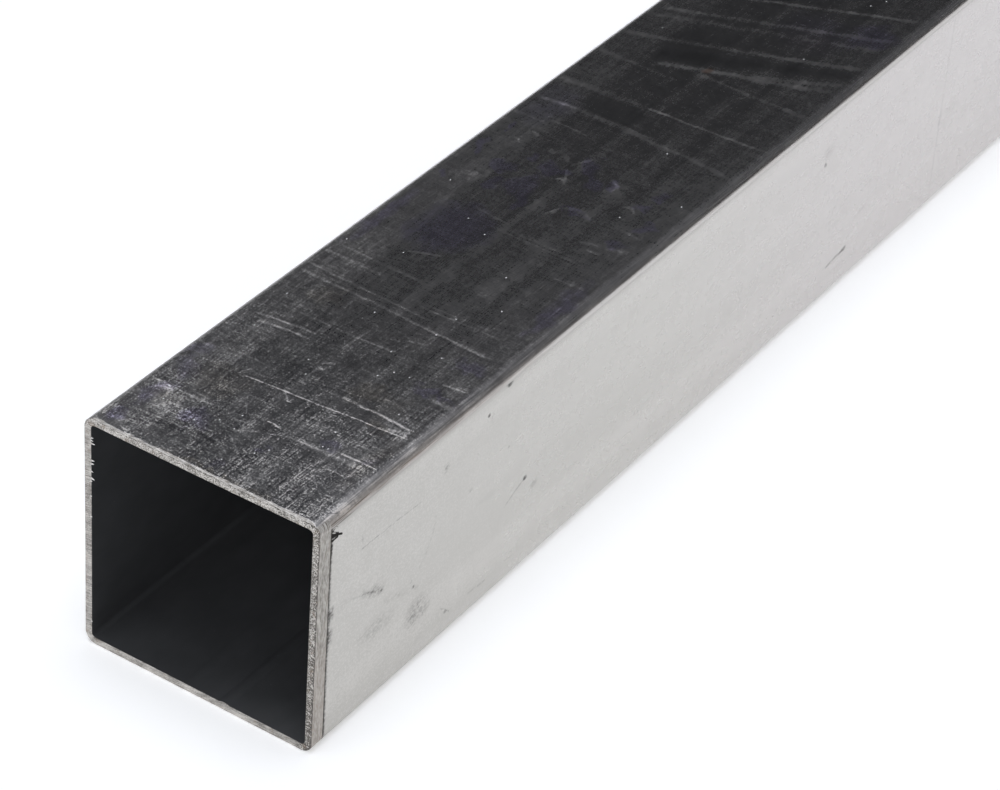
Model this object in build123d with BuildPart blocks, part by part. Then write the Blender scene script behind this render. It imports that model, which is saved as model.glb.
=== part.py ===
"""Square steel tube, 50 x 50 x 1.5 mm, one metre long.

A cold-formed hollow section: flat strip is rolled to a tube, its two edges are welded along one
line, and rolls square it up. The weld is planed flush outside and leaves a low flash inside. The
stock is sawn to length. It lies along Y on its base, with the middle of the base at the origin.
"""
from build123d import *
import os

# Section, mm
side = 50.0              # outside, across the flats
wall = 1.5               # thickness of the strip
inner_radius = 0.9       # inside of each rolled corner
length = 1000.0          # sawn length, along Y

# Weld flash left inside the base wall, mm
seam_offset = 6.0        # seam line from the middle of the base, towards +X
seam_width = 2.2
seam_height = 0.25

# Sawn ends, mm
edge_break = 0.15        # burr taken off round the outside of both ends
bevel_run = 0.55         # file bevel on the top edge of the -Y end, back from the cut
bevel_drop = 0.35        # the same bevel, down from the top face
strip_run = 3.3          # strip dressed on the +X face beside the -Y cut, back from the cut
strip_drop = 0.12        # how far the strip has been dressed down at the cut
score_width = 0.45       # scored line across the +X face, where the dressed strip stops
score_depth = 0.15

# Worked out from the sizes above
outer_radius = inner_radius + wall
bore = side - 2 * wall
cut_y = -length / 2      # the sawn end that is dressed
face_x = side / 2        # the face that is dressed
score_y = cut_y + strip_run
near_end = Plane(origin=(0, cut_y, side / 2), x_dir=(1, 0, 0), z_dir=(0, -1, 0))

with BuildPart() as tube:
    # Rounded square ring, with the weld flash standing on the inside of its base wall.
    base_inside = -bore / 2
    flash_left = (seam_offset - seam_width / 2, base_inside)
    flash_right = (seam_offset + seam_width / 2, base_inside)
    flash_crown = (seam_offset, base_inside + seam_height)
    with BuildSketch(near_end):
        RectangleRounded(side, side, outer_radius)
        RectangleRounded(bore, bore, inner_radius, mode=Mode.SUBTRACT)
        with BuildLine():
            Line(flash_left, flash_right)
            ThreePointArc(flash_right, flash_crown, flash_left)
        make_face()
    extrude(amount=-length)

    # The saw's burr is broken off round the outside of both ends.
    sawn_ends = tube.faces().filter_by(Axis.Y)
    outer_edges = [edge for end in sawn_ends for edge in end.outer_wire().edges()]
    chamfer(outer_edges, edge_break)

    # Bevel filed along the top edge of the -Y end, right across the tube.
    with BuildSketch(Plane.YZ):
        with BuildLine():
            Polyline(
                (cut_y, side - bevel_drop),
                (cut_y + bevel_run, side),
                (cut_y, side),
                close=True,
            )
        make_face()
    extrude(amount=side, both=True, mode=Mode.SUBTRACT)

    # Strip dressed on the +X face, deepest at the cut and running out to nothing at the score.
    with BuildSketch(Plane.XY):
        with BuildLine():
            Polyline(
                (face_x - strip_drop, cut_y),
                (face_x, score_y),
                (face_x, cut_y),
                close=True,
            )
        make_face()
    extrude(amount=side, mode=Mode.SUBTRACT)

    # Scored line, a shallow V right across the +X face.
    with BuildSketch(Plane.XY):
        with BuildLine():
            Polyline(
                (face_x, score_y - score_width / 2),
                (face_x - score_depth, score_y),
                (face_x, score_y + score_width / 2),
                close=True,
            )
        make_face()
    extrude(amount=side, mode=Mode.SUBTRACT)

tube.part.label = "tube"

os.makedirs("parts", exist_ok=True)
export_step(tube.part, "parts/tube.step")
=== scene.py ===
"""A metre of bare square steel tube on a pale floor.

Everything is in metres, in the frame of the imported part: the tube lies along Y on its base, its
dressed end towards -Y, its top towards +Z. Lengths that a maker would give in millimetres are
written as a number times mm.
"""
import math

import bpy
import numpy as np
from mathutils import Matrix, Vector


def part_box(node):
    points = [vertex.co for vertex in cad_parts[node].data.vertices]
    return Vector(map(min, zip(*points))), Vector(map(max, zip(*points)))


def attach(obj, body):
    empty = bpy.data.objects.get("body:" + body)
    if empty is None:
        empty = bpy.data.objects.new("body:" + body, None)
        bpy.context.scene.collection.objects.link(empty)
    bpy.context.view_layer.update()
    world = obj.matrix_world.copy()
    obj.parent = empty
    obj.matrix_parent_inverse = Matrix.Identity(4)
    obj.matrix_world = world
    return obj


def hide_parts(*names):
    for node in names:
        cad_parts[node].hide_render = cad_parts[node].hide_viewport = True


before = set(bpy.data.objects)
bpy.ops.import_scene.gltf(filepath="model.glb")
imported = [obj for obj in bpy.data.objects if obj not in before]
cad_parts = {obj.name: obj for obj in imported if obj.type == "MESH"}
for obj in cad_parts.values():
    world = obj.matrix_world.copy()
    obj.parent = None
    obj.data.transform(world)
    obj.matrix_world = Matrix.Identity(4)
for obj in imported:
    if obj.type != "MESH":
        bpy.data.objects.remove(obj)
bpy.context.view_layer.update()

# --- The tube wall -------------------------------------------------------------------------------
# One length of 50 x 50 x 1.5 mm cold-formed hollow section. Steel strip is bent round four corners,
# its edges are welded along the base, and the stock is sawn square. The wall is one closed skin:
# outside, far cut, inside, near cut.

mm = 0.001
tube_low, tube_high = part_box("tube")
side = tube_high.x - tube_low.x
near_y = tube_low.y
far_y = tube_high.y
wall = 1.5 * mm
inner_radius = 0.9 * mm
outer_radius = inner_radius + wall
flat_half = side / 2 - outer_radius     # half of each side's flat, between the corner radii

flat_steps = 150                        # columns over one flat
corner_steps = 10                       # columns round one corner
hollow = 0.07 * mm                      # how far the middle of each flat has sunk in rolling
squarely = 0.99                         # a unit normal this long along an axis faces it
sink_change = 0.4                       # how much the hollow's depth changes along the tube
sink_step = 120 * mm
edge_break = 0.15 * mm                  # burr taken off the outside of both cuts
lip = 0.08 * mm                         # the sharp inside edge, as it is left

seam_x = 6.0 * mm                       # weld line from the middle of the base
seam_width = 2.2 * mm
seam_height = 0.25 * mm                 # flash left standing inside

bevel_run = 0.55 * mm                   # file bevel on the top edge of the near cut
bevel_drop = 0.35 * mm
strip_run = 3.3 * mm                    # strip dressed on the +X face beside the near cut
strip_drop = 0.12 * mm
score_width = 0.45 * mm                 # line scored where the dressed strip stops
score_depth = 0.15 * mm

saw_climb = math.radians(8)             # the saw's lines climb this much towards +X

# Teeth of saw burr hanging from the inside edge of the -X wall at the near cut, in mm: height,
# how far each reaches into the bore, and its half-width below and above its point.
burr_teeth = np.array([
    (45.8, 0.75, 0.35, 0.12), (45.1, 0.7, 0.12, 0.3), (44.6, 1.1, 0.3, 0.15),
    (41.0, 0.95, 0.4, 0.12), (40.3, 0.95, 0.4, 0.12), (38.5, 0.6, 0.2, 0.2),
    (36.9, 1.0, 0.15, 0.4), (36.4, 0.5, 0.2, 0.15),
    (33.1, 0.3, 0.2, 0.2), (28.6, 0.4, 0.15, 0.2), (5.0, 0.35, 0.2, 0.2),
]).T * mm
burr_height, burr_reach, burr_below, burr_above = burr_teeth

rng = np.random.default_rng(50)


def wander(along, step):
    """A smooth random curve between -1 and 1: one random height every `step`, eased from each to
    the next by 3t^2 - 2t^3."""
    heights = rng.uniform(-1, 1, int(np.ptp(along) / step) + 3)
    place = (along - along.min()) / step
    first = place.astype(int)
    ease = place - first
    ease = ease * ease * (3 - 2 * ease)
    return heights[first] * (1 - ease) + heights[first + 1] * ease


def walk_round():
    """One walk round the section, from the weld in the base towards +X. A square of half-side
    flat_half carries the walk along each flat, with more columns where the burr's teeth are; at
    its corners the walk stands still while the outward normal turns a quarter. Returns the
    square's points, the normals, where across its flat each column lies (-1 to 1) and the
    distance walked on the outer skin."""
    points, normals, across, steps = [], [], [], []
    for quarter in range(4):
        facing = math.radians(90 * quarter - 90)
        out = np.array([math.cos(facing), math.sin(facing)])
        ahead = np.array([-out[1], out[0]])
        share = np.linspace(-1, 1, flat_steps, endpoint=False)
        if out[0] < -squarely:
            on_teeth = [burr_height - burr_below, burr_height, burr_height + burr_above]
            share = np.union1d(share, (side / 2 - np.concatenate(on_teeth)) / flat_half)
        points.append(flat_half * (out + share[:, None] * ahead))
        normals.append(np.repeat(out[None], len(share), 0))
        across.append(share)
        steps.append(np.diff(np.append(share, 1.0)) * flat_half)
        turn = np.linspace(0, math.pi / 2, corner_steps, endpoint=False)[:, None]
        points.append(np.repeat(flat_half * (out + ahead)[None], corner_steps, 0))
        normals.append(np.cos(turn) * out + np.sin(turn) * ahead)
        across.append(np.ones(corner_steps))
        steps.append(np.full(corner_steps, outer_radius * math.pi / 2 / corner_steps))
    start = round((1 + seam_x / flat_half) / 2 * flat_steps)
    walked = [np.roll(np.concatenate(part), -start, 0) for part in (points, normals, across, steps)]
    distance = np.concatenate([[0.0], np.cumsum(walked[3])])
    return walked[0], walked[1], walked[2], distance


square, normal, across, around = walk_round()
columns = len(square)

# Rows of the outer skin, back from a cut: close together over the bevel, the strip and the score.
near_rows = np.array(
    [0.15, 0.25, 0.35, 0.45, 0.55, 0.65, 0.8, 1.0, 1.3, 1.6, 1.9, 2.2, 2.5, 2.8, 3.0, 3.08,
     3.15, 3.22, 3.3, 3.38, 3.45, 3.52, 3.6, 3.9, 4.5, 5.5, 7.0, 9.0, 12.0]
) * mm
far_rows = np.array([0.15, 0.3, 0.5, 0.8, 1.3, 2.5, 5.0, 9.0]) * mm
lip_rows = np.array([0.08, 0.16, 0.3, 0.5, 0.9, 1.6, 3.0, 6.0]) * mm
middle_rows = 30
cut_rows = 9                            # rows across the sawn face

outer_y = np.concatenate([
    near_y + near_rows,
    np.linspace(near_y + near_rows[-1], far_y - far_rows[-1], middle_rows + 1)[1:-1],
    (far_y - far_rows)[::-1],
])
inner_y = np.concatenate([
    far_y - lip_rows,
    np.linspace(far_y - lip_rows[-1], near_y + lip_rows[-1], middle_rows + 1)[1:-1],
    (near_y + lip_rows)[::-1],
])

# How far each row stands off the square: 0.9 mm on the inner skin, 2.4 mm on the outer skin.
flash = np.where(
    normal[:, 1] < -squarely,
    seam_height * np.clip(1 - ((square[:, 0] - seam_x) / (seam_width / 2)) ** 2, 0, None),
    0.0,
)
ragged_fine, ragged_broad = 0.05 * mm, 0.04 * mm
ragged = ragged_fine * wander(around[:-1], 0.45 * mm)
ragged = ragged + ragged_broad * wander(around[:-1], 1.3 * mm)
far_inner_edge = inner_radius + lip - flash + ragged
# Each tooth is its reach times 1 - distance / half-width, below its point and above it.
off_burr = (side / 2 + square[:, 1])[:, None] - burr_height
burr = 1 - np.where(off_burr < 0, -off_burr / burr_below, off_burr / burr_above)
burr = (burr_reach * np.clip(burr, 0, None)).sum(1) * (normal[:, 0] < -squarely)
near_inner_edge = far_inner_edge - burr
outer_edge = np.full(columns, outer_radius - edge_break)
across_cut = np.linspace(0, 1, cut_rows)[:, None]
near_cut_offset = near_inner_edge * (1 - across_cut) + outer_edge * across_cut
far_cut_offset = outer_edge * (1 - across_cut) + far_inner_edge * across_cut

sink = hollow * (1 - across ** 2)
outer_sink = sink * (1 + sink_change * wander(outer_y, sink_step))[:, None]
inner_sink = sink * (1 + sink_change * wander(inner_y, sink_step))[:, None]
outer_offset = outer_radius - outer_sink
inner_offset = inner_radius - flash - inner_sink

offset = np.concatenate([near_cut_offset, outer_offset, far_cut_offset, inner_offset])
place_y = np.concatenate([
    np.full(cut_rows, near_y), outer_y, np.full(cut_rows, far_y), inner_y,
])[:, None] * np.ones(columns)
rows = len(offset)

burr_at = np.zeros((rows, columns))
bare_reach = 0.3 * mm                   # teeth this long and longer show as bright metal
burr_at[0] = burr_at[1] = np.clip(burr / bare_reach, 0, 1)
cut_depth = np.concatenate([
    across_cut, np.ones((len(outer_y), 1)), across_cut[::-1], np.zeros((len(inner_y), 1)),
]) * np.ones(columns)

wall_x = square[:, 0] + offset * normal[:, 0]
wall_z = side / 2 + square[:, 1] + offset * normal[:, 1]


def saw_marks(x, z):
    """Depth of the saw's marks at each point of a cut: fine ridges in straight lines across the
    tube, climbing a little towards +X, each fading in and out along its length."""
    line = z * math.cos(saw_climb) - x * math.sin(saw_climb)
    travel = x * math.cos(saw_climb) + z * math.sin(saw_climb)
    shape = line.shape
    fine = wander(line.ravel(), 0.22 * mm).reshape(shape)
    broad = wander(line.ravel(), 0.7 * mm).reshape(shape)
    fade = 0.7 + 0.3 * wander(travel.ravel(), 1.8 * mm).reshape(shape)
    fine_depth, broad_depth = 0.018 * mm, 0.014 * mm
    return (fine_depth * fine + broad_depth * broad) * fade + fine_depth + broad_depth


near_cut = slice(0, cut_rows)
far_cut = slice(cut_rows + len(outer_y), 2 * cut_rows + len(outer_y))
place_y[near_cut] += saw_marks(wall_x[near_cut], wall_z[near_cut])
place_y[far_cut] -= saw_marks(wall_x[far_cut], wall_z[far_cut])

# The bevel, the dressed strip and the score are planes that the skin is cut back to.
back = place_y - near_y
uneven = 0.3 * wander(square[:, 0], 1.2 * mm) + 0.15 * wander(square[:, 0], 0.4 * mm)
run = bevel_run * (1 + uneven)
bevel_plane = side - bevel_drop * (1 - back / run)
strip_plane = side / 2 - strip_drop * (1 - back / strip_run)
score_plane = side / 2 - score_depth * (1 - abs(back - strip_run) / (score_width / 2))
turned_to_x = normal[:, 0] > 0.6        # the +X face and over half of both its corners
short_of_score = strip_run - 0.1 * mm
dressed = (back < short_of_score) & turned_to_x
dressed |= (back < run) & (wall_z > bevel_plane)
by_score = back > 0.5 * strip_run
scored = np.clip((wall_x - score_plane) / score_depth, 0, 1) * by_score
wall_z = np.where(back < run, np.minimum(wall_z, bevel_plane), wall_z)
wall_x = np.where(back < strip_run, np.minimum(wall_x, strip_plane), wall_x)
wall_x = np.where(by_score, np.minimum(wall_x, score_plane), wall_x)

# The closed grid: the last column meets the first, and the last row meets the first.
vertices = np.stack([wall_x, place_y, wall_z], -1).reshape(-1, 3)
row, column = np.meshgrid(np.arange(rows), np.arange(columns), indexing="ij")
next_row, next_column = (row + 1) % rows, (column + 1) % columns
faces = np.stack([
    row * columns + column,
    next_row * columns + column,
    next_row * columns + next_column,
    row * columns + next_column,
], -1).reshape(-1, 4)

# Which finish each band of faces has, by the row it starts from.
start_row = np.arange(rows)
outer_start = cut_rows
outer_end = outer_start + len(outer_y) - 1
inner_start = outer_end + 1 + cut_rows
is_outer = (start_row >= outer_start) & (start_row < outer_end)
is_inner = (start_row >= inner_start) & (start_row < rows - 1)
finish_of_row = np.where(is_outer, 0, np.where(is_inner, 2, 1))


def spread_map():
    """Texture map for the wall. The outer skin is halved along its length and each half lies flat
    over the whole width of the square; the inner skin lies above them and the two cuts on top."""
    outer_share, inner_share, cut_share = 0.42, 0.12, 0.02
    gap = 0.003
    along = np.concatenate([np.zeros(1), np.linalg.norm(np.diff(
        np.stack([offset[:, 0], place_y[:, 0]], 1), axis=0), axis=1)]).cumsum()
    turn = around / around[-1]
    low_u, high_u = np.zeros(rows), np.zeros(rows)
    low_v, height = np.zeros(rows), np.zeros(rows)
    half = outer_start + int(np.argmin(abs(outer_y)))
    bands = (
        (outer_start, half, 0.0, outer_share),
        (half, outer_end, outer_share, outer_share),
        (inner_start, rows - 1, 2 * outer_share, inner_share),
        (-1, outer_start, 2 * outer_share + inner_share, cut_share),
        (outer_end, inner_start, 2 * outer_share + inner_share + cut_share, cut_share),
    )
    for first, last, bottom, tall in bands:
        here = np.arange(first, last)
        length = along[here % rows]
        step = np.append(np.diff(length), 0)
        step[step < 0] = lip
        if first == -1:
            length = np.linspace(0, 1, len(here), endpoint=False)
            step = np.full(len(here), 1 / len(here))
        else:
            step[-1] = along[last] - along[last - 1]
        total = length[-1] + step[-1] - length[0]
        low_u[here % rows] = (length - length[0]) / total
        high_u[here % rows] = (length + step - length[0]) / total
        low_v[here % rows] = bottom + gap / 2
        height[here % rows] = tall - gap
    left, right = turn[:-1][None], turn[1:][None]
    bottom, tall = low_v[:, None], height[:, None]
    corner_u = np.stack([low_u, high_u, high_u, low_u], -1)[:, None, :] * np.ones((1, columns, 1))
    corner_v = np.stack([
        bottom + tall * left, bottom + tall * left, bottom + tall * right, bottom + tall * right,
    ], -1)
    return np.stack([corner_u, corner_v], -1).reshape(-1, 2)


def skin(name, points, quads):
    """A smooth mesh object of these points and four-sided faces, at the origin."""
    mesh = bpy.data.meshes.new(name)
    mesh.from_pydata(points, [], quads.tolist())
    mesh.shade_smooth()
    thing = bpy.data.objects.new(name, mesh)
    bpy.context.collection.objects.link(thing)
    return thing


def strip_map():
    """The tube laid out flat again as the strip that it was rolled from: millimetres round from the
    weld and back from the cut, for the finishes that follow the strip."""
    left, right = around[:-1], around[1:]
    round_corners = np.stack([left, left, right, right], -1)[None] * np.ones((rows, 1, 1))
    here = place_y - near_y
    there = np.roll(here, -1, 0)
    back_corners = np.stack([here, there, np.roll(there, -1, 1), np.roll(here, -1, 1)], -1)
    return np.stack([round_corners / mm, back_corners / mm], -1).reshape(-1, 2)


tube = skin("tube_wall", vertices, faces)
# A column of faces has the top's finish if the normals of its two edges add up to an upward one.
is_top = (normal[:, 1] + np.roll(normal[:, 1], -1)) > 0.05
finish_of_face = np.where((finish_of_row[:, None] == 0) & ~is_top, 3, finish_of_row[:, None])
tube.data.polygons.foreach_set("material_index", finish_of_face.ravel())
tube.data.uv_layers.new(name="OFBake").data.foreach_set("uv", spread_map().ravel())
tube.data.uv_layers.new(name="strip").data.foreach_set("uv", strip_map().ravel())
marked = (("dressed", dressed), ("scored", scored), ("cut_depth", cut_depth), ("burr", burr_at))
for label, amount in marked:
    layer = tube.data.attributes.new(label, "FLOAT", "POINT")
    layer.data.foreach_set("value", amount.astype(np.float32).ravel())


class Socket:
    """One output of a shader's node, a number or, if wide, three at once. Python's + - * / on it
    add Math nodes, or Vector Math nodes if either side is wide, to the same shader."""

    def __init__(self, tree, out=None, wide=False):
        self.tree = tree
        self.out = out
        self.wide = wide

    def node(self, kind, settings=None, inputs=None, output=0, wide=False):
        """Adds a node: its settings first, then its sockets' numbers or links; gives one output."""
        made = self.tree.nodes.new(kind)
        for name, value in (settings or {}).items():
            setattr(made, name, value)
        for name, value in (inputs or {}).items():
            if isinstance(value, Socket):
                self.tree.links.new(value.out, made.inputs[name])
            else:
                made.inputs[name].default_value = value
        return Socket(self.tree, made.outputs[output], wide)

    def math(self, operation, *values):
        """Adds a Math node, or a Vector Math node if any of the values is wide."""
        wide = any(isinstance(value, Socket) and value.wide for value in values)
        if wide:
            numbers = (int, float)
            values = [(value,) * 3 if isinstance(value, numbers) else value for value in values]
        kind = "ShaderNodeVectorMath" if wide else "ShaderNodeMath"
        return self.node(kind, {"operation": operation}, dict(enumerate(values)), wide=wide)

    def __add__(self, other):
        return self.math("ADD", self, other)

    def __sub__(self, other):
        return self.math("SUBTRACT", self, other)

    def __rsub__(self, other):
        return self.math("SUBTRACT", other, self)

    def __mul__(self, other):
        return self.math("MULTIPLY", self, other)

    def __truediv__(self, other):
        return self.math("DIVIDE", self, other)

    def __abs__(self):
        return self.math("ABSOLUTE", self)

    __radd__ = __add__
    __rmul__ = __mul__

    def parts(self):
        """The three numbers of a wide socket."""
        kind = "ShaderNodeSeparateXYZ"
        return [self.node(kind, None, {0: self}, output=axis) for axis in range(3)]

    def thrice(self):
        """This number three times over, as a wide socket."""
        return self.node("ShaderNodeCombineXYZ", None, {0: self, 1: self, 2: self}, wide=True)

    def dot(self, weights):
        """The sum of a wide socket's three numbers, each times its weight."""
        settings = {"operation": "DOT_PRODUCT"}
        inputs = {0: self, 1: tuple(weights)}
        return self.node("ShaderNodeVectorMath", settings, inputs, output=1)

    def marking(self, label):
        """The number that the mesh carries under this label."""
        return self.node("ShaderNodeAttribute", {"attribute_name": label}, output="Fac")

    def rotated(self, degrees):
        """This wide socket, turned about Z."""
        inputs = {"Vector": self, "Angle": math.radians(degrees)}
        return self.node("ShaderNodeVectorRotate", {"rotation_type": "Z_AXIS"}, inputs, wide=True)

    def relief(self, strength, depth):
        """A bump whose height is this number, depth metres for each 1."""
        inputs = {"Strength": strength, "Distance": depth, "Height": self}
        return self.node("ShaderNodeBump", None, inputs)

    def held(self, low, high):
        """This number, held between low and high."""
        above = self.math("MAXIMUM", self, low)
        return above.math("MINIMUM", above, high)

    def rise(self, low, high):
        """0 below low, 1 above high and a smooth step between; falls if low is the higher."""
        settings = {"interpolation_type": "SMOOTHSTEP"}
        flip = low > high
        limits = {1: min(low, high), 2: max(low, high), 3: float(flip), 4: float(not flip)}
        return self.node("ShaderNodeMapRange", settings, {0: self, **limits})

    def blend(self, low, high):
        """A colour between two others, by this factor."""
        low, high = [(*end, 1.0) if isinstance(end, tuple) else end for end in (low, high)]
        settings = {"data_type": "RGBA"}
        return self.node("ShaderNodeMix", settings, {0: self, 6: low, 7: high}, output=2)


def new_finish(name):
    """An empty material: its Principled shader and the place on the tube in millimetres."""
    finish = bpy.data.materials.new(name)
    finish.use_nodes = True
    shader = finish.node_tree.nodes["Principled BSDF"]
    place = Socket(finish.node_tree).node("ShaderNodeTexCoord", output="Object", wide=True)
    return finish, shader, place * (1 / mm)


def grain(place, length, detail=2.0, roughness=0.5, flat=False):
    """Noise from 0 to 1 whose blobs are length millimetres long along each axis."""
    settings = {"normalize": True, "noise_dimensions": "2D" if flat else "3D"}
    scaled = place / (tuple(length) + (1.0,) * (3 - len(length)))
    inputs = {"Vector": scaled, "Scale": 1.0, "Detail": detail, "Roughness": roughness}
    return place.node("ShaderNodeTexNoise", settings, inputs, output="Fac")


def three_at_a_time(rows, idle):
    """The rows in threes, each three turned into columns; the last is filled up with idle rows."""
    rows = list(rows) + [idle] * (-len(rows) % 3)
    for first in range(0, len(rows), 3):
        yield [tuple(column) for column in zip(*rows[first:first + 3])]


def scratches(over, along, rows):
    """How strongly each point is scratched. Each scratch runs from one place over the face to
    another, at one place along the tube to another with a bow between them: its line is their mean
    plus share times half their difference plus (1 - share^2) times the bow, share going from -1 to
    1. It fades out at its ends and over its half-width."""
    over, along = over.thrice(), along.thrice()
    total = 0.0
    for group in three_at_a_time(rows, (0.0, 1.0, 0.0, 0.0, 0.0, 1.0, 0.0)):
        over_a, over_b, along_a, along_b, bow, half_width, strength = np.array(group)
        share = (over - tuple((over_a + over_b) / 2)) / tuple((over_b - over_a) / 2)
        line = share * tuple((along_b - along_a) / 2) + tuple((along_a + along_b) / 2)
        line = line + (1.0 - share * share) * tuple(bow)
        core = (1.0 - abs(along - line) / tuple(half_width)).held(0.0, 1.0)
        ends = ((1.0 - abs(share)) * 9.0).held(0.0, 1.0)
        total = total + (core * ends).dot(strength)
    return total


def patches(over, along, rows):
    """How much of each point is covered by soft-edged patches, each an ellipse given by its middle
    over and along the face, its two half-widths and its strength."""
    over, along = over.thrice(), along.thrice()
    total = 0.0
    for group in three_at_a_time(rows, (0.0, 0.0, 1.0, 1.0, 0.0)):
        middle_over, middle_along, half_over, half_along, strength = group
        off_over = (over - middle_over) / half_over
        off_along = (along - middle_along) / half_along
        inside = (1.0 - off_over * off_over - off_along * off_along).held(0.0, 1.0)
        total = total + inside.dot(strength)
    return total


def feed(shader, values):
    """Links or sets the shader's sockets by name."""
    for name, value in values.items():
        if isinstance(value, Socket):
            value.tree.links.new(value.out, shader.inputs[name])
        else:
            shader.inputs[name].default_value = value


# How far round the strip, in mm, the middle of the top lies from the weld.
top_middle = (4 * flat_half - seam_x + math.pi * outer_radius) / mm

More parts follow.
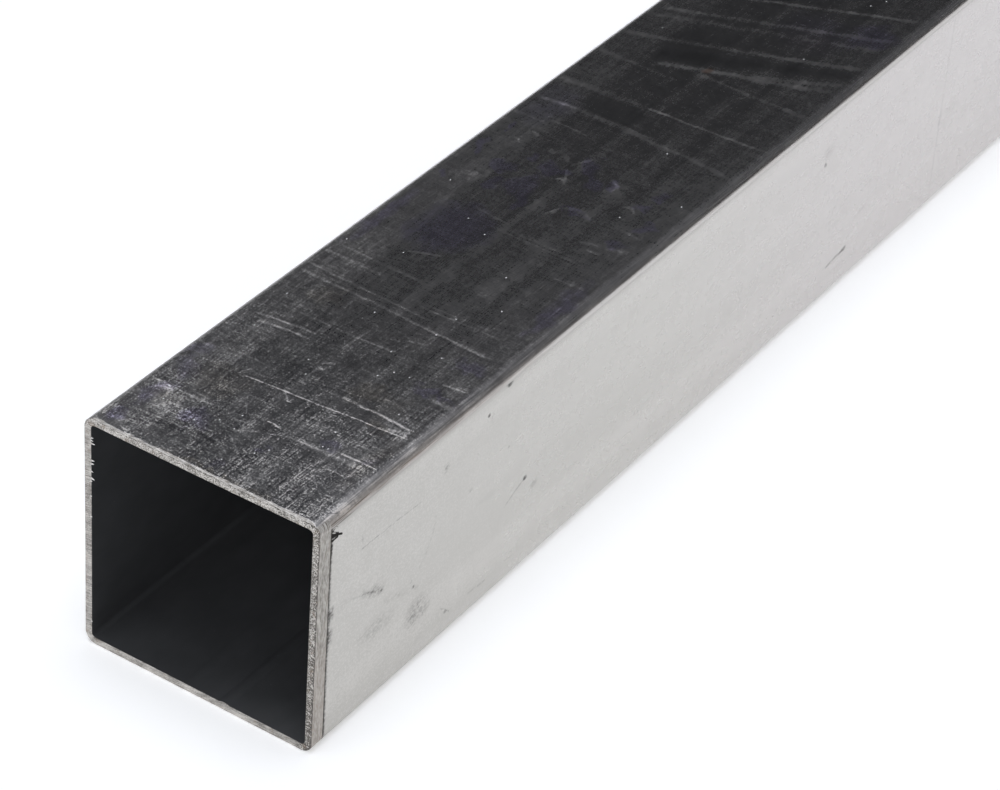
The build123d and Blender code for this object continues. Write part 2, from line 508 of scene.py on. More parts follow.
# Scratches on the top, from the cut back, in mm: x at both ends, distance back from the cut at
# both ends, bow, half-width, strength.
top_scratches = [
    (-19.7, -8.8, 6.9, 7.5, 0.3, 0.28, 1.0),
    (-15.2, -8.6, 6.0, 6.6, 0.2, 0.7, -1.2),
    (-6.9, -2.6, 8.1, 7.6, 0.0, 0.6, -1.3),
    (-21.6, -9.3, 5.0, 6.4, 0.5, 0.25, 0.6),
    (-22.4, -9.4, 15.9, 16.0, -0.3, 0.4, 1.0),
    (-3.0, 11.0, 11.8, 16.8, 1.7, 0.35, 0.7),
    (0.5, 3.2, 18.1, 17.7, 0.2, 0.28, 2.2),
    (15.5, 23.2, 18.5, 18.7, 0.0, 0.3, 1.6),
    (7.0, 23.0, 16.7, 17.2, 0.2, 0.9, 0.7),
    (-8.0, 14.0, 22.2, 22.4, 0.0, 0.2, 0.6),
    (-0.6, 0.6, 24.9, 25.0, 0.0, 0.3, 1.6),
    (-3.0, -0.2, 27.4, 24.9, 0.0, 0.35, 0.8),
    (1.0, 3.6, 9.6, 8.2, 0.2, 0.3, 0.6),
    (16.0, 22.0, 22.2, 22.0, 0.0, 0.25, 0.8),
    (8.4, 12.6, 22.7, 22.9, 0.1, 0.3, 0.8),
    (11.0, 12.0, 22.8, 23.3, 0.0, 0.4, 1.2),
    (15.5, 17.6, 26.0, 26.2, 0.0, 0.45, 1.0),
    (18.0, 21.0, 23.3, 23.5, 0.0, 0.3, 0.6),
    (18.0, 20.6, 13.7, 13.5, 0.0, 0.3, 0.6),
    (-11.3, 22.8, 26.1, 28.8, 0.1, 0.24, 1.8),
    (-11.8, -10.9, 26.6, 28.6, -0.1, 0.4, 1.0),
    (17.0, 21.6, 28.7, 30.6, -0.2, 0.55, 0.6),
    (6.4, 12.0, 31.9, 31.4, 0.0, 0.6, 1.1),
    (11.5, 21.4, 31.6, 31.0, 0.25, 0.5, 1.4),
    (-17.0, 7.0, 31.2, 31.8, -0.5, 0.35, 0.35),
    (-19.0, -8.4, 40.9, 41.9, 0.3, 0.55, 0.9),
    (-20.5, -7.8, 42.7, 44.1, 0.2, 0.4, 0.75),
    (19.0, 23.2, 40.8, 40.5, 0.0, 0.9, 0.6),
    (18.0, 22.4, 45.7, 46.1, 0.0, 0.4, 0.7),
    (-20.5, 7.0, 47.6, 48.3, -0.3, 0.45, 0.5),
    (-23.2, 21.0, 58.7, 56.8, 0.3, 0.6, 0.5),
    (12.0, 19.0, 57.5, 57.2, 0.0, 1.2, 0.35),
    (-23.2, 4.0, 61.3, 60.2, 0.0, 0.45, 0.35),
    (-2.6, -0.7, 36.7, 36.5, -0.5, 0.4, 0.7),
    (-2.5, -0.2, 37.0, 38.6, 0.5, 0.5, 0.8),
    (-5.8, -3.4, 20.0, 17.2, 0.3, 0.35, 0.8),
    (-2.5, 2.3, 11.0, 7.4, 0.3, 0.4, 0.7),
    (-3.4, 0.6, 8.6, 6.4, 0.3, 0.3, 0.5),
    (1.5, 18.0, 62.6, 63.2, 0.0, 0.3, 0.4),
    (1.5, 16.0, 63.7, 64.2, 0.0, 0.3, 0.35),
    (-23.2, -9.0, 66.6, 66.3, 0.0, 0.8, 0.4),
    (-23.2, -2.6, 69.6, 69.2, 0.0, 0.5, 0.35),
    (-11.0, -5.0, 75.6, 78.4, 0.0, 0.5, 0.5),
    (14.6, 21.4, 85.4, 85.6, 0.0, 0.4, 0.4),
    (-2.5, 15.6, 92.2, 92.0, 0.0, 0.45, 0.3),
    (0.0, 14.0, 93.2, 93.3, 0.0, 0.4, 0.25),
    (-9.6, -1.2, 95.8, 94.8, 0.0, 0.4, 0.4),
    (14.4, 17.6, 96.8, 97.2, 0.0, 0.5, 0.4),
    (12.0, 21.4, 98.4, 100.7, 0.2, 1.1, 0.32),
    (1.8, 3.1, 102.2, 105.3, 0.3, 0.8, 0.7), (3.1, 9.8, 105.5, 105.4, 1.6, 0.9, 0.32),
    (14.2, 20.0, 106.6, 106.2, 0.0, 0.5, 0.35), (11.9, 14.6, 113.2, 113.2, 0.9, 0.6, 0.6),
    (-1.0, -3.4, 113.2, 117.6, 0.0, 0.9, 0.5), (-3.5, -1.2, 119.0, 123.6, 0.4, 1.0, 0.4),
    (-5.6, -3.2, 112.6, 112.9, 0.3, 0.8, 0.25), (-8.0, -4.4, 121.8, 119.6, 0.8, 0.9, 0.3),
    (-18.4, -15.6, 119.8, 119.4, 1.1, 0.5, 0.4), (5.2, 8.2, 119.8, 117.6, 0.6, 0.8, 0.35),
    (-23.2, -15.0, 128.8, 129.3, 0.0, 0.6, 0.3),
    (-15.6, -6.6, 130.6, 130.2, 0.0, 0.4, 0.4),
    (-23.2, 23.0, 136.4, 134.6, 1.0, 1.0, 0.4), (-18.0, 4.0, 137.2, 137.2, 0.25, 0.7, 0.35),
    (-23.2, -3.0, 145.0, 146.5, 0.0, 1.4, 0.35),
    (-3.5, 23.2, 146.4, 147.3, -0.2, 0.5, 0.6), (-3.5, 2.0, 146.3, 146.7, 0.0, 0.5, 0.4),
    (-23.2, -3.4, 159.2, 158.8, 0.0, 0.8, 0.3),
    (-3.4, 23.2, 163.8, 163.0, 0.0, 0.9, 0.35),
    (-11.0, 23.2, 162.0, 179.0, -1.0, 1.3, 0.4),
    (-11.0, -1.0, 162.0, 166.2, 0.0, 1.8, 0.3),
    (-3.0, 23.2, 165.5, 175.5, -0.5, 1.3, 0.35),
    (-14.0, 23.2, 165.0, 183.0, 0.0, 3.2, -0.5),
    (-23.2, 23.2, 168.2, 186.5, -0.4, 1.2, 0.5),
    (-23.2, 23.2, 177.5, 195.6, 0.0, 1.5, 0.35),
    (-23.2, 23.2, 180.8, 200.2, 0.2, 1.2, 0.5),
    (-12.0, 23.2, 195.0, 211.0, 0.2, 0.9, 0.6),
]

# Hazy patches on the top, dark ones negative: x, distance back from the cut, half-width,
# half-length, strength.
top_hazes = [
    (15.0, 15.0, 9.0, 7.0, 0.4), (-15.5, 10.6, 4.5, 3.2, 1.1), (-17.0, 14.6, 5.5, 1.4, 1.0),
    (-19.0, 3.0, 5.0, 3.0, 0.4), (19.5, 30.2, 3.4, 1.6, 0.8), (-1.9, 37.0, 1.3, 1.1, 1.2),
    (-0.6, 38.3, 1.5, 0.6, 0.9), (-18.0, 68.0, 7.0, 12.0, 0.25), (-16.5, 40.0, 3.0, 6.0, 0.3),
    (-1.4, 113.7, 0.8, 0.7, 1.4), (-16.5, 105.5, 3.5, 6.0, 0.5), (8.0, 117.0, 3.0, 3.0, 0.3),
    (10.0, 172.0, 11.0, 5.5, 0.4), (-1.5, 67.0, 0.6, 10.0, 0.35), (13.6, 11.0, 0.3, 6.5, 1.4),
    (23.5, 4.8, 0.12, 1.7, -3.5),
    (15.2, 14.8, 0.9, 2.4, -0.9), (-9.4, 10.7, 1.0, 0.9, 1.3), (-18.7, 15.3, 1.2, 0.8, 1.3),
    (-13.7, 26.0, 0.35, 12.0, -0.6), (-15.5, 35.0, 1.6, 6.0, 0.4), (-12.2, 24.5, 0.5, 4.0, 0.8),
    (7.2, 29.4, 2.6, 1.0, -0.5), (7.5, 15.0, 2.0, 2.0, -0.6), (-15.3, 9.6, 2.6, 1.8, 0.4),
    (-9.0, 87.0, 7.0, 10.0, -0.3), (-8.0, 141.0, 9.0, 6.0, -0.4), (-9.0, 172.0, 7.0, 9.0, -0.4),
    (-2.0, 120.6, 0.9, 3.0, 0.4), (-7.5, 121.6, 1.5, 1.5, 0.8),
    (-14.2, 124.5, 1.0, 1.1, 1.2), (14.6, 115.0, 2.0, 0.9, 0.3), (5.2, 52.9, 0.8, 0.6, 1.0),
    (-15.5, 55.0, 3.0, 2.5, 0.35), (3.0, 103.6, 0.7, 1.2, 0.9),
]

# Tracks that the rolls have left along the top, dark ones negative: x, half-width, strength.
top_tracks = [
    (-24.0, 1.6, 0.22), (-22.0, 2.6, 0.08), (-17.0, 4.0, 0.1), (-1.3, 1.5, 0.08), (8.3, 2.6, 0.09),
    (14.8, 2.2, 0.08), (21.0, 4.5, 0.06), (-3.6, 1.6, -0.04), (11.8, 1.2, -0.02),
]

# Patches of faint oil colour on the top, violet and then brown: x, distance back from the cut,
# half-width, half-length, strength.
violet_patches = [
    (-9.0, 87.0, 7.5, 11.0, 1.3), (-11.3, 104.5, 2.0, 3.2, 1.5), (-13.6, 110.7, 2.2, 2.6, 1.3),
    (-6.7, 107.6, 3.6, 5.0, 1.4), (-4.8, 102.6, 1.8, 3.0, 1.3), (-5.5, 115.3, 2.8, 3.0, 1.5),
    (-10.5, 117.2, 1.6, 1.5, 1.3), (0.2, 121.0, 2.6, 4.4, 1.5), (2.9, 116.5, 2.4, 3.2, 1.4),
    (6.8, 118.0, 1.5, 2.2, 1.3), (5.6, 106.3, 3.0, 1.5, 1.3), (16.0, 115.3, 1.6, 1.6, 1.2),
    (16.0, 120.7, 2.0, 2.8, 1.2), (19.5, 110.0, 2.2, 2.8, 1.2), (18.0, 101.8, 2.6, 2.4, 1.0),
    (-20.9, 101.5, 1.2, 1.8, 1.2), (-20.2, 114.2, 1.4, 3.6, 1.2), (-21.3, 123.8, 1.2, 1.6, 1.2),
    (21.0, 77.0, 2.5, 12.0, 1.0),
    (19.0, 52.5, 4.0, 2.5, 1.0), (-21.5, 83.0, 2.0, 13.0, 1.0), (-21.0, 3.5, 2.2, 3.0, 1.0),
    (-20.0, 12.0, 2.6, 5.5, 1.0), (-9.8, 11.4, 3.0, 3.4, 1.0), (13.4, 19.0, 2.0, 2.0, 0.8),
    (20.8, 19.5, 1.8, 2.2, 0.9), (5.0, 11.3, 1.4, 1.4, 0.8), (-19.0, 22.0, 3.0, 3.5, 0.6),
    (-21.5, 27.5, 2.2, 3.0, 0.6), (1.5, 2.8, 2.0, 1.5, 0.5), (18.0, 42.0, 5.0, 1.6, 1.0),
    (18.0, 199.0, 5.0, 7.0, 1.2), (8.0, 193.0, 9.0, 9.0, 0.6), (-18.0, 135.0, 5.0, 10.0, 0.5),
]
brown_patches = [
    (9.0, 35.5, 4.0, 3.5, 1.2), (16.0, 28.5, 3.0, 2.0, 0.9), (-13.0, 22.0, 6.0, 6.0, 0.7),
    (-12.8, 54.5, 4.5, 3.5, 0.8), (15.0, 34.0, 4.0, 5.0, 0.5),
    (-18.0, 13.0, 4.0, 3.0, 0.5), (21.0, 20.0, 3.0, 9.0, 0.5), (2.0, 0.6, 14.0, 1.0, 1.4),
    (8.0, 190.0, 7.0, 6.0, 0.4),
]

# Bright flecks on the top, each under half a millimetre across: x and distance back from the cut.
top_flecks = [
    (-2.6, 12.8), (0.9, 4.7), (5.6, 11.7), (4.2, 9.5), (-6.1, 13.3), (-2.6, 33.2), (-4.8, 37.0),
    (-18.4, 39.3), (7.4, 40.7), (9.1, 43.3), (12.1, 43.7), (12.1, 18.2), (13.2, 18.2), (11.4, 22.8),
    (16.9, 33.7), (5.1, 48.0), (-11.2, 74.8), (-8.4, 91.8), (-3.0, 89.2), (-19.8, 50.8),
    (-12.4, 12.1), (-17.3, 12.1), (-18.3, 15.0), (-18.9, 15.7), (-9.5, 10.6), (-3.8, 16.7),
    (-4.2, 56.0), (8.4, 57.2), (8.4, 63.4), (13.2, 52.0), (-21.8, 71.8), (-18.4, 100.4),
    (13.4, 70.6), (8.0, 80.0), (-17.4, 174.6), (8.6, 134.6), (20.6, 120.4), (13.4, 110.0),
    (11.2, 182.5), (11.2, 210.0), (12.8, 213.8),
]

# Dark strokes on the +X face: distance back from the cut at both ends, z at both ends, bow,
# half-width, strength.
side_strokes = [
    (9.5, 19.8, 28.4, 24.3, 0.2, 0.5, 0.35), (13.0, 20.0, 27.3, 24.2, 0.0, 1.6, 0.36),
    (15.0, 23.5, 26.0, 28.9, 0.2, 1.0, 0.25), (11.8, 30.5, 37.8, 37.1, 0.1, 0.28, 0.65),
    (57.5, 64.2, 18.9, 21.9, 0.2, 0.4, 0.7), (47.0, 53.0, 5.6, 5.2, 0.0, 0.5, 0.5),
    (176.6, 184.8, 8.2, 9.1, 0.2, 0.65, 0.8), (19.8, 31.3, 21.6, 17.5, 0.0, 1.4, 0.3),
    (38.5, 41.5, 8.0, 5.2, 0.0, 0.4, 0.6),
]

# A black scuff beside the score, just under the top: short strokes out from one place.
scuff_strokes = [
    (3.0, 5.3, 45.1, 45.1, 0.0, 0.32, 5.0), (3.0, 6.5, 46.6, 44.9, 0.0, 0.32, 5.0),
    (3.0, 5.4, 46.0, 45.6, 0.0, 0.5, 5.0), (3.0, 5.0, 47.4, 46.0, 0.0, 0.2, 2.5),
    (3.1, 4.3, 46.7, 47.4, 0.0, 0.18, 2.5), (3.2, 5.1, 48.4, 47.2, 0.0, 0.15, 1.4),
]

# The same for strokes that run up the face: z at both ends, distance back from the cut at both
# ends, bow, half-width, strength.
upright_strokes = [
    (3.0, 49.0, 222.4, 222.2, 0.0, 0.7, 0.3), (31.5, 21.5, 35.0, 30.2, 1.2, 0.7, 0.3),
]

# Dark rubbed spots on the +X face: z, distance back from the cut, half-width, half-length,
# strength.
side_marks = [
    (25.3, 17.0, 2.2, 4.6, 0.25), (21.9, 64.0, 0.7, 0.8, 1.5), (18.6, 67.3, 1.2, 1.4, 0.5),
    (47.6, 56.3, 1.0, 1.3, 1.7), (44.0, 50.2, 0.5, 0.6, 1.3), (43.0, 51.6, 1.6, 1.2, 0.3),
    (18.8, 29.2, 0.5, 0.5, 0.7), (9.2, 184.2, 0.7, 1.0, 0.7), (20.5, 28.7, 0.5, 0.6, 0.6),
    (12.4, 30.6, 4.0, 5.0, 0.6),
    (6.1, 39.9, 0.45, 0.8, 0.8), (28.4, 4.0, 2.2, 1.3, 0.8), (23.8, 3.9, 3.0, 1.3, 0.8),
    (30.0, 4.6, 0.7, 0.7, 0.5), (24.2, 5.2, 0.5, 0.7, 0.5),
    (36.4, 170.5, 0.8, 0.8, 1.1), (40.1, 37.3, 1.3, 1.4, 0.5), (39.6, 12.6, 1.6, 0.7, 0.4),
    (37.0, 20.0, 0.35, 7.0, 0.2),
    (43.2, 3.6, 1.6, 0.5, 1.0), (32.8, 57.6, 0.5, 0.6, 0.6), (30.2, 45.8, 1.0, 1.0, 0.4),
    (17.0, 18.0, 3.0, 8.0, 0.4), (39.0, 171.0, 2.4, 3.0, 0.35), (16.0, 190.0, 1.0, 3.0, 0.3),
]

# Tracks of the rolls along the +X face, light ones negative: z, half-width, strength.
side_tracks = [(10.4, 4.2, -0.5), (21.0, 6.5, 0.22), (44.4, 3.2, -0.3), (5.0, 1.4, 0.12)]


def tracks(over, rows):
    """How much the rolls' tracks lighten each point: strength times
    1 - (distance / half-width)^2."""
    over = over.thrice()
    total = 0.0
    for middle, half_width, strength in three_at_a_time(rows, (0.0, 1.0, 0.0)):
        away = (over - middle) / half_width
        inside = (1.0 - away * away).held(0.0, 1.0)
        total = total + inside.dot(strength)
    return total


def on_strip(finish):
    """The place on the flat strip, as a wide socket, and its two numbers: round and back."""
    start = Socket(finish.node_tree)
    place = start.node("ShaderNodeUVMap", {"uv_map": "strip"}, output="UV", wide=True)
    return [place] + place.parts()[:2]


def lined(strip, angle, length, width):
    """Sparse fine lines in the strip, of about this length and width, at this angle to its
    width."""
    return grain(strip.rotated(angle), (length, width), 0.0, flat=True).rise(0.66, 0.82)


def rolled_pattern(strip):
    """What all of the outer skin shares, each about 0: the rolls' fine lines along the tube and
    across it, broad cloudy tone drawn out both ways, and two slow wanders."""
    lengthwise = grain(strip, (0.3, 10.0), 1.0, 0.7, True) - 0.5
    crosswise = grain(strip, (5.0, 0.45), 1.0, 0.7, True) - 0.5
    clouds = grain(strip, (3.0, 12.0), 3.0, 0.65, True) + grain(strip, (8.0, 4.5), 3.0, 0.65, True)
    clouds = clouds - 1.0
    small_wander = grain(strip, (2.5, 2.5), 1.0, 0.5, True) - 0.5
    wide_wander = grain(strip, (7.0, 7.0), 1.0, 0.5, True) - 0.5
    return lengthwise, crosswise, clouds, small_wander, wide_wander


def top_steel():
    """The top and its two corners: strip as it leaves the rolls, dark, finely lined both ways,
    scratched across, worn bright near the cut and along its edges. Its over is the distance in mm
    round the strip from the middle of the top: the flat ends at 22.6 and the corner at 26.4."""
    finish, shader, place = new_finish("top_steel")
    strip, round_strip, back = on_strip(finish)
    over = top_middle - round_strip
    top = abs(over).rise(25.6, 23.2)
    lengthwise, crosswise, clouds, small_wander, wide_wander = rolled_pattern(strip)
    handled = back.rise(80.0, 0.0)
    dulled = back.rise(200.0, 80.0)
    left_wear = over.rise(-6.0, -23.0)
    right_wear = over.rise(9.0, 23.0)
    corner = abs(over).rise(23.2, 24.0)

    # Marks with a place of their own, broken up by a fine mottle.
    wandered = back + small_wander * 0.12 + wide_wander * 0.45
    scored = scratches(over, wandered, top_scratches)
    rubs = grain(strip, (1.4, 2.0), 3.0, 0.75, True)
    scored = scored * (0.65 + rubs.rise(0.3, 0.6) * 0.35) * top
    haze = patches(over + wide_wander * 5.0, back + small_wander * 3.5, top_hazes)
    haze = haze * (rubs * 2.6 - 0.3).held(0.0, 2.0) * top
    flecks = patches(over, back, [(x, y, 0.16, 0.23, 1.3) for x, y in top_flecks])
    flecks = (flecks * 1.2).held(0.0, 1.0)

    # Texture all over: fine lines at three angles, specks, dashes and tone drawn out both ways.
    fine = lined(strip, 14.0, 6.0, 0.25) + lined(strip, -38.0, 2.5, 0.22) * 0.6
    fine = fine + lined(strip, 86.0, 9.0, 0.25)
    speckle = grain(strip, (0.3, 0.42), 1.0, 0.8, True)
    dashes = grain(strip, (0.28, 1.1), 1.0, 0.8, True) + grain(strip, (0.9, 0.3), 1.0, 0.8, True)
    dashes = dashes - 1.0
    grit = speckle.rise(0.67, 0.77)
    worked = grain(strip, (5.0, 7.0), 3.0, 0.65, True).rise(0.36, 0.62)
    drawn = grain(strip, (0.9, 14.0), 2.0, 0.7, True) + grain(strip, (7.0, 1.6), 2.0, 0.7, True)
    drawn = drawn - 1.0
    by_cut = back.rise(22.0, 0.0)

    # Tone, about 0 on plain strip: the texture, the marks, then what changes along the tube and
    # towards its corners.
    weave = lengthwise * (1.3 + over.rise(-8.0, 10.0) * handled * 0.6)
    weave = weave + crosswise * (1.0 - corner) * 0.9
    specks = (speckle - 0.5) * (1.3 + handled * 0.9) + dashes * 1.1
    weave = weave + specks * (1.0 - corner * 0.6)
    textured = (0.4 + rubs * 1.2) * (1.0 + (worked - 0.5) * handled)
    tone = weave * (0.17 + handled * 0.24 + by_cut * 0.16) * textured
    tone = tone + clouds * (0.15 + handled * 0.25)
    tone = tone + drawn * (0.13 + handled * 0.22) + lengthwise * corner * 0.4
    tone = tone + (rubs - 0.5) * (0.3 + handled * 0.42) * (1.0 - corner * 0.6)
    tone = tone + grit * (0.04 + handled * 0.4) * (1.0 - corner)
    tone = tone + scored * 0.4 + haze * (0.5 + speckle) * 0.2
    tone = tone + fine * (0.05 + handled * 0.22 * worked) * (1.0 - corner)
    tone = tone + tracks(over + wide_wander * 0.8, top_tracks) * (1.0 - corner)
    tone = tone + dulled * 0.06 + back.rise(120.0, 20.0) * 0.02 - handled * 0.2
    tone = tone + back.rise(30.0, 60.0) * back.rise(160.0, 120.0) * 0.03
    worn = over.rise(23.1, 23.4) * over.rise(23.8, 23.45)
    tone = tone + worn * (0.02 + handled * 0.08 + by_cut * 0.15)
    tone = tone + corner * (handled * 0.17 + by_cut * 0.1)
    tone = tone + over.rise(23.8, 24.3) * handled * 0.2

    # Brightness is 0.4 times e to the power of 1.9 times the tone. It blends dark metal into bright
    # up to 1, and roughens it up to its limit. Oil colours, rust and lines of dirt lie over it,
    # with a line of painted shade and a painted highlight along the +X corner.
    shade = tone.math("EXPONENT", tone * 1.9) * 0.4
    shade = shade.math("MINIMUM", shade, 1.7)
    colour = shade.blend((0.25, 0.247, 0.26), (0.885, 0.853, 0.832))
    flat = abs(over).rise(24.0, 23.0)
    spread_over, spread_back = over + wide_wander * 6.0, back + small_wander * 5.0
    violet = patches(spread_over, spread_back, violet_patches) * (rubs * 2.0)
    violet = violet.held(0.0, 1.0) * flat
    colour = violet.blend(colour, shade.blend((0.255, 0.24, 0.315), (0.87, 0.81, 0.96)))
    brown = patches(spread_over, spread_back, brown_patches) * (rubs * 2.0)
    brown = brown.held(0.0, 1.0) * flat
    colour = brown.blend(colour, shade.blend((0.262, 0.245, 0.24), (0.91, 0.855, 0.79)))
    rust_place = over + small_wander * 2.0, back + small_wander * 2.0
    rust = patches(*rust_place, [(-1.4, 166.0, 1.2, 1.8, 1.0)])
    colour = (rust * 0.8).blend(colour, (0.42, 0.28, 0.22))
    warmth = over.rise(23.8, 25.0) * (0.6 + handled * 0.4)
    colour = warmth.blend(colour, shade.blend((0.262, 0.247, 0.24), (0.9, 0.84, 0.785)))
    # Painted shade: a dark line along the +X corner, where the dark top turns to the bright side.
    shade_line_end = over.rise(26.0, 25.4) * handled + over.rise(25.4, 25.1) * (1.0 - handled)
    painted_shade_line = over.rise(24.5, 25.0) * shade_line_end
    colour = (painted_shade_line * (0.4 - by_cut * 0.2)).blend(colour, (0.16, 0.135, 0.115))
    brown_lines = lengthwise.rise(-0.1, 0.2) * over.rise(24.9, 25.4) * over.rise(26.9, 26.1)
    colour = (brown_lines * (0.42 + handled * 0.38)).blend(colour, (0.19, 0.15, 0.12))
    colour = abs(over).rise(25.5, 26.4).blend(colour, (0.45, 0.432, 0.412))
    # Painted highlight: a bright line along the +X corner, away from the cut.
    painted_glint = over.rise(25.1, 25.35) * over.rise(26.3, 25.8) * back.rise(40.0, 90.0)
    colour = (painted_glint * 0.45).blend(colour, (0.66, 0.64, 0.62))
    gritty = lengthwise.rise(-0.3, 0.2) * over.rise(25.3, 25.7)
    gritty = gritty * (back.rise(10.0, 5.0) * 0.3 + back.rise(26.0, 12.0) * 0.35)
    colour = gritty.blend(colour, (0.17, 0.15, 0.13))
    strip_lines = grain(place, (1.6, 0.14, 1.6), 2.0, 0.6)
    filed = place.marking("dressed")
    file_colour = strip_lines.rise(0.25, 0.75).blend((0.27, 0.24, 0.21), (0.82, 0.8, 0.77))
    colour = filed.blend(colour, file_colour)
    colour = flecks.blend(colour, (0.95, 0.95, 0.95))
    rough = 0.24 + back.rise(170.0, 70.0) * 0.024 + handled * 0.127
    rough = rough + (left_wear + right_wear) * 0.02 + corner * (0.01 + handled * 0.1)
    rough = rough + (shade - 0.42) * 0.24 + scored.held(0.0, 1.5) * 0.06 + filed * 0.15
    feed(shader, {
        "Base Color": colour, "Metallic": 1.0 - flecks * 0.8, "Roughness": rough,
        "Normal": (lengthwise + crosswise).relief(0.3, 0.02 * mm),
    })
    return finish


def side_steel():
    """The other three faces: the same strip, cleaner, with a few greasy rubbed marks; a strip
    beside the cut is dressed with a file as far as a dark scored line."""
    finish, shader, place = new_finish("side_steel")
    strip, _, back = on_strip(finish)
    x, _, z = place.parts()
    lengthwise, crosswise, clouds, small_wander, _ = rolled_pattern(strip)
    handled = back.rise(80.0, 0.0)
    near_face = x.rise(24.0, 24.5)
    dressing, scoring = place.marking("dressed"), place.marking("scored")
    rubs = grain(strip, (0.7, 0.9), 3.0, 0.75, True)

    rubbed = patches(z + small_wander * 0.6, back + small_wander, side_marks)
    rubbed = rubbed + scratches(back + small_wander, z + small_wander * 0.4, side_strokes)
    rubbed = rubbed + scratches(z, back + small_wander * 0.5, upright_strokes)
    wiped = grain(strip.rotated(24), (0.35, 4.0), 2.0, 0.7, True)
    rubbed = rubbed * (0.2 + wiped * 1.6) + back.rise(2.5, 3.1) * back.rise(4.1, 3.5) * 0.9
    rubbed = rubbed + scratches(back, z, scuff_strokes)
    rubbed = rubbed * (rubs * 2.4 - 0.3).held(0.1, 1.5) * near_face
    tarred = rubbed.rise(1.4, 2.6)
    smear = grain(strip, (9.0, 22.0), 3.0, 0.65, True).rise(0.62, 0.8) * 0.2
    rubbed = (rubbed + smear).rise(0.0, 1.5)

    # Tone, 0 on clean strip: painted shade towards the cut, edges, streaks and handling.
    painted_shade_to_cut = back.rise(230.0, 0.0)
    top_edge = z.rise(46.4, 47.6)
    speckle = grain(strip, (0.36, 0.5), 1.0, 0.8, True)
    tone = painted_shade_to_cut * 0.7 + clouds * (0.15 + handled * 0.55) + 0.1
    tone = tone + top_edge * (0.15 + back.rise(200.0, 60.0) * 0.35 + back.rise(18.0, 5.0) * 0.6)
    streaks = grain(strip, (0.7, 40.0), 2.0, 0.65, True) - 0.5
    tone = tone + streaks * (0.3 + z.rise(44.0, 47.0) + z.rise(6.0, 1.0) * 0.5)
    tone = tone + lengthwise * top_edge * 0.8
    tone = tone + (lengthwise + crosswise) * (0.1 + handled * 0.6)
    tone = tone + (rubs - 0.5) * (0.02 + handled * 2.1)
    tone = tone + (wiped - 0.5) * handled * (1.2 + z.rise(20.0, 8.0) * 1.4) * near_face
    tone = tone + (speckle - 0.5) * (0.2 + handled * 4.6) + tracks(z, side_tracks) * near_face
    colour = tone.held(0.0, 1.5).blend((0.556, 0.539, 0.512), (0.491, 0.477, 0.45))
    colour = (top_edge * (0.1 + handled * 0.2)).blend(colour, (0.3, 0.28, 0.26))
    # Painted light: lighter near the bottom away from the cut, and lighter far along the tube.
    painted_lift_low = z.rise(10.0, 1.0)
    painted_light = painted_lift_low * (1.0 - handled) * 0.22 + back.rise(120.0, 240.0) * 0.07
    colour = painted_light.blend(colour, (0.75, 0.73, 0.71))
    colour = (back.rise(90.0, 200.0) * 0.12).blend(colour, (0.56, 0.465, 0.56))
    # Painted shade: darker along the bottom edge, most near the cut.
    colour = (z.rise(3.2, 1.6) * (0.1 + handled * 0.16)).blend(colour, (0.3, 0.29, 0.275))
    colour = rubbed.blend(colour, (0.075, 0.07, 0.064))
    colour = tarred.blend(colour, (0.012, 0.01, 0.008))

    # The dressed strip and the score, from what the mesh carries.
    file_marks = grain(place, (0.4, 0.4, 1.6), 3.0, 0.75)
    stains = grain(place, (1.6, 1.6, 2.4), 2.0, 0.6).rise(0.5, 0.72)
    stains = stains * (0.2 + z.rise(42.0, 48.0) * 0.5)
    strip_colour = file_marks.rise(0.2, 0.8)
    strip_colour = strip_colour.blend((0.222, 0.207, 0.187), (0.61, 0.586, 0.548))
    strip_colour = (z.rise(27.0, 16.0) * 0.3).blend(strip_colour, (0.47, 0.41, 0.37))
    strip_colour = stains.blend(strip_colour, (0.24, 0.185, 0.14))
    colour = dressing.blend(colour, strip_colour)
    colour = (scoring.rise(0.0, 0.25) * (0.6 + rubs * 0.6)).blend(colour, (0.06, 0.052, 0.045))
    rough = 0.27 + handled * 0.1 + clouds * 0.08 + (rubs - 0.5) * (0.02 + handled * 0.2)
    rough = rough + rubbed * 0.05 + tarred * 0.4 + dressing * 0.2
    ridges = (lengthwise + crosswise) * (0.3 + handled * 0.7)
    feed(shader, {
        "Base Color": colour, "Metallic": 1.0 - rubbed * 0.3, "Roughness": rough,
        "Normal": ridges.relief(0.3, 0.02 * mm),
    })
    return finish


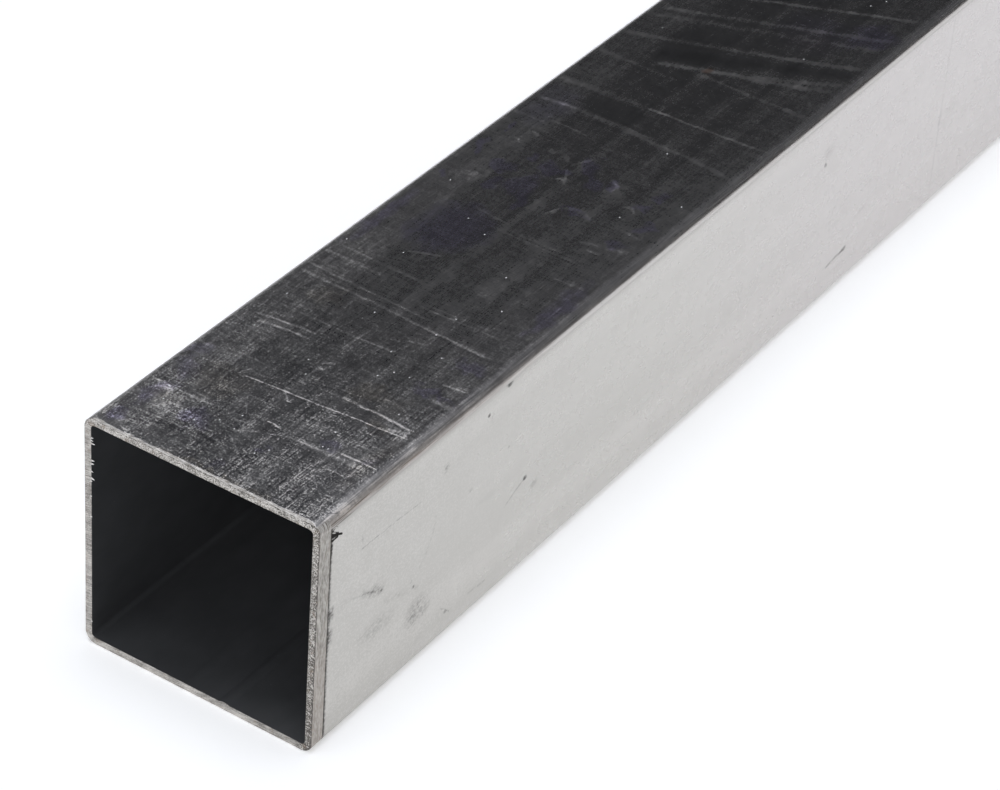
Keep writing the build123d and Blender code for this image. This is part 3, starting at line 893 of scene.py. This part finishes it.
def sawn_steel():
    """The cut faces and bevels: dull, warm grey and lined by the saw, coarsest on the +X wall."""
    finish, shader, place = new_finish("sawn_steel")
    x, y, z = place.parts()
    line = z * math.cos(saw_climb) - x * math.sin(saw_climb)
    travel = x * math.cos(saw_climb) + z * math.sin(saw_climb)
    level = place.node("ShaderNodeCombineXYZ", None, {0: travel, 1: y, 2: line}, wide=True)
    depth = place.marking("cut_depth")
    lines = grain(level, (2.5, 6.0, 0.16), 2.0, 0.6)
    pits = grain(place, (0.24, 0.24, 0.24), 1.0, 0.8)
    hanging = place.marking("burr")
    blotch = grain(place, (1.6, 1.6, 1.6), 3.0, 0.6)

    # Across the +X wall the saw has left rungs, which break halfway through its thickness.
    step = depth.rise(0.44, 0.46) * 13.0
    shifted = place.node("ShaderNodeCombineXYZ", None, {0: step, 1: 0.0, 2: z + x * 0.5}, wide=True)
    rungs = grain(shifted, (2.0, 2.0, 0.42), 1.0)
    fine_rungs = grain(shifted, (1.2, 1.2, 0.26), 1.0)
    coarse = x.rise(21.0, 23.0)
    lower = z.rise(34.0, 12.0) * coarse
    edge_line = depth.rise(0.86, 0.95) * coarse
    on_top = z.rise(47.6, 48.6)
    tone = (lines - 0.5) * 1.2 + (blotch - 0.5) * 0.9
    tone = tone + (pits - 0.5) * (0.8 + on_top * 2.0 + coarse * 3.2)
    tone = tone + coarse * ((rungs - 0.5) * (1.2 + lower * 0.6) - 0.12) - lower * 0.12 + 0.52
    tone = tone - fine_rungs.rise(0.5, 0.38) * coarse * (0.25 + lower * 0.35)
    tone = tone + pits.rise(0.62, 0.76) * coarse * 0.4
    tone = tone - edge_line * (0.5 + pits.rise(0.5, 0.35) * 0.4)
    colour = tone.rise(-0.1, 1.1).blend((0.1, 0.09, 0.08), (0.66, 0.63, 0.59))
    stains = grain(place, (1.2, 1.2, 1.2), 2.0, 0.6).rise(0.55, 0.75) * 0.5
    colour = stains.blend(colour, (0.26, 0.2, 0.155))
    colour = hanging.blend(colour, (0.92, 0.91, 0.89))
    height = lines + pits + coarse * rungs * 2.0
    feed(shader, {
        "Base Color": colour, "Metallic": 0.8, "Roughness": 0.5,
        "Normal": height.relief(0.7, 0.08 * mm),
    })
    return finish


def bore_steel():
    """The inside of the tube: dark matt strip with mill scale and a few drawn lines along it."""
    finish, shader, place = new_finish("bore_steel")
    x, y, _ = place.parts()
    back = y - near_y / mm
    lines = grain(place, (0.9, 60.0, 0.9), 2.0, 0.6)
    dust = grain(place, (0.7, 0.9, 0.7), 2.0, 0.7).rise(0.72, 0.8)
    mottle = grain(place, (4.0, 7.0, 4.0), 3.0, 0.6)
    # Painted sheen: the bore is lighter just inside the near mouth, towards +X.
    painted_sheen = back.rise(9.0, 0.0) * x.rise(-6.0, 18.0)
    tone = (mottle - 0.5) * 0.4 - lines.rise(0.42, 0.3) * 0.06 + dust * 0.7 + painted_sheen * 0.4 + 0.3
    colour = tone.held(0.0, 1.0).blend((0.016, 0.0168, 0.0185), (0.064, 0.065, 0.068))
    feed(shader, {"Base Color": colour, "Roughness": 0.55})
    return finish


for finish in (top_steel(), sawn_steel(), bore_steel(), side_steel()):
    tube.data.materials.append(finish)
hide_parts("tube")
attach(tube, "root")

# --- Floor, light and camera ---------------------------------------------------------------------
# A pale floor under a soft overhead light. The camera looks down along the tube from its dressed
# end with a long lens.

floor_mesh = bpy.data.meshes.new("floor")
floor_half = 12.0
floor_glow = 0.27                       # lifts the floor to a clean white
floor_mesh.from_pydata(
    [(-floor_half, -floor_half, 0), (floor_half, -floor_half, 0),
     (floor_half, floor_half, 0), (-floor_half, floor_half, 0)], [], [(0, 1, 2, 3)])
floor = bpy.data.objects.new("floor", floor_mesh)
bpy.context.collection.objects.link(floor)


def floor_paint():
    """Matt white floor with a faint mottle."""
    finish, shader, place = new_finish("floor_paint")
    mottle = grain(place, (300.0, 300.0, 300.0), 2.0, 0.5)
    colour = mottle.rise(0.2, 0.8).blend((0.86, 0.86, 0.86), (0.9, 0.9, 0.9))
    feed(shader, {
        "Base Color": colour, "Roughness": 0.9,
        "Emission Color": (1, 1, 1, 1), "Emission Strength": floor_glow,
    })
    return finish


floor_mesh.materials.append(floor_paint())

# The sky: a bright panel overhead, a dimmer one behind the camera, a little light from the right,
# and plain white wherever the camera sees past the floor.
studio = bpy.data.worlds.new("studio")
studio.use_nodes = True
bpy.context.scene.world = studio
sky = Socket(studio.node_tree)
looking = sky.node("ShaderNodeTexCoord", output="Generated", wide=True)
to_right, to_back, to_top = looking.parts()
seen = sky.node("ShaderNodeLightPath", output="Is Camera Ray")
overhead = to_top.rise(0.9, 0.97) * 3.8
in_front = to_back.rise(-0.2, -0.75)
glow = overhead + in_front + to_right.rise(-0.3, 0.6) * 0.1 + 0.03 + seen
backdrop = studio.node_tree.nodes["Background"]
studio.node_tree.links.new(glow.out, backdrop.inputs["Strength"])
backdrop.inputs["Color"].default_value = (0.95, 0.98, 1.04, 1)

camera_azimuth = math.radians(31.395)
camera_elevation = math.radians(36.114)
camera_roll = math.radians(4.437)
camera_place = Vector((5.8382 * side, near_y - 7.6843 * side, 8.4114 * side))
focal_share = 3.6247                    # focal length over the sensor's width

back_axis = Vector((
    math.sin(camera_azimuth) * math.cos(camera_elevation),
    -math.cos(camera_azimuth) * math.cos(camera_elevation),
    math.sin(camera_elevation),
))
level_right = Vector((0, 0, 1)).cross(back_axis).normalized()
level_up = back_axis.cross(level_right)
right_axis = level_right * math.cos(camera_roll) + level_up * math.sin(camera_roll)
up_axis = level_up * math.cos(camera_roll) - level_right * math.sin(camera_roll)
turned = Matrix((right_axis, up_axis, back_axis)).transposed()

# A weak wide lamp beside the camera reaches down the bore.
fill_light = bpy.data.lights.new("fill", "SUN")
fill_light.energy = 0.8
fill_light.angle = math.radians(12)
fill = bpy.data.objects.new("fill", fill_light)
fill.matrix_world = turned.to_4x4()
bpy.context.collection.objects.link(fill)

camera_data = bpy.data.cameras.new("camera")
camera_data.sensor_width = 36.0
camera_data.lens = focal_share * camera_data.sensor_width
camera_data.clip_start = 0.01
camera_data.clip_end = 100.0
camera = bpy.data.objects.new("camera", camera_data)
camera.matrix_world = Matrix.Translation(camera_place) @ turned.to_4x4()
bpy.context.collection.objects.link(camera)
bpy.context.scene.camera = camera
bpy.context.scene.view_settings.view_transform = "Standard"
